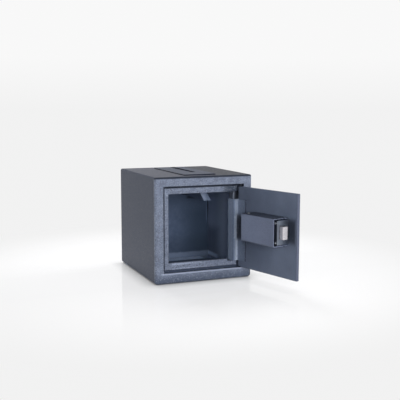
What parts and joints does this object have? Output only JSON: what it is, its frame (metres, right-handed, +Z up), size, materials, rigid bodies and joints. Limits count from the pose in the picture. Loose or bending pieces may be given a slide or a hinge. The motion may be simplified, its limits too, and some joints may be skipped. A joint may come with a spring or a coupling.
{
  "type": "deposit safe",
  "caption": "Small steel deposit safe with a slot and chute in its roof, a hinged plate door, a hooked hinge bar and a key lock with a sliding bolt under a folded hood.",
  "frame": {"origin": "middle of the underside of the cabinet's floor: midway between its sides, and midway between the front face and the rear edge", "axes": "+X to the right seen from the front, +Y from the front face to the back, +Z up; the door is hinged on the right and stands open at rest"},
  "size_m": [0.2772, 0.4684, 0.2574],
  "materials": {
    "slate_powder_coat": "fine-textured blue-grey powder coat, semi-gloss",
    "zinc_plated_steel": "bright zinc plate, satin",
    "nickel_plated_steel": "nickel plate, bright with fine machining lines"
  },
  "bodies": {
    "cabinet": {"body_shell": "slate_powder_coat", "back_panel": "slate_powder_coat", "front_frame": "slate_powder_coat", "frame_web": "slate_powder_coat", "stop_frame": "slate_powder_coat", "hinge_guard": "slate_powder_coat", "slot_plate": "slate_powder_coat", "chute_left_wall": "slate_powder_coat", "chute_right_wall": "slate_powder_coat", "chute_front_plate": "slate_powder_coat", "chute_back_plate": "slate_powder_coat", "hinge_washer": "zinc_plated_steel"},
    "door": {"door_plate": "slate_powder_coat", "hinge_pin_upper": "zinc_plated_steel", "hinge_pin_lower": "zinc_plated_steel", "hinge_bar": "slate_powder_coat", "lock_backing_plate": "zinc_plated_steel", "lock_case": "zinc_plated_steel", "lock_case_lid": "zinc_plated_steel", "lock_hood": "slate_powder_coat", "hood_bracket": "zinc_plated_steel", "hood_screw_upper": "zinc_plated_steel", "hood_screw_lower": "zinc_plated_steel", "key_sleeve": "nickel_plated_steel", "lock_screw_1": "zinc_plated_steel", "lock_screw_2": "zinc_plated_steel", "lock_screw_3": "zinc_plated_steel", "lock_screw_4": "zinc_plated_steel"},
    "bolt": {"lock_bolt": "nickel_plated_steel"},
    "key": {"key_barrel": "nickel_plated_steel"}
  },
  "joints": [
    {"name": "door_swing", "type": "hinge", "parent": "cabinet", "child": "door", "pos_m": [0.0972, -0.136, 0.128], "axis": [0, 0, 1], "range_deg": [-105, 3]},
    {"name": "bolt_throw", "type": "slide", "parent": "door", "child": "bolt", "axis": [0.2588, -0.9659, 0], "range_m": [0, 0.011]},
    {"name": "key_turn", "type": "hinge", "parent": "door", "child": "key", "pos_m": [0.1221, -0.22892, 0.1379], "axis": [-0.9659, -0.2588, 0], "range_deg": [0, 180]}
  ],
  "couplings": [
    {"joint": "key_turn", "follows": "bolt_throw", "rad_per_m": 285.5}
  ]
}
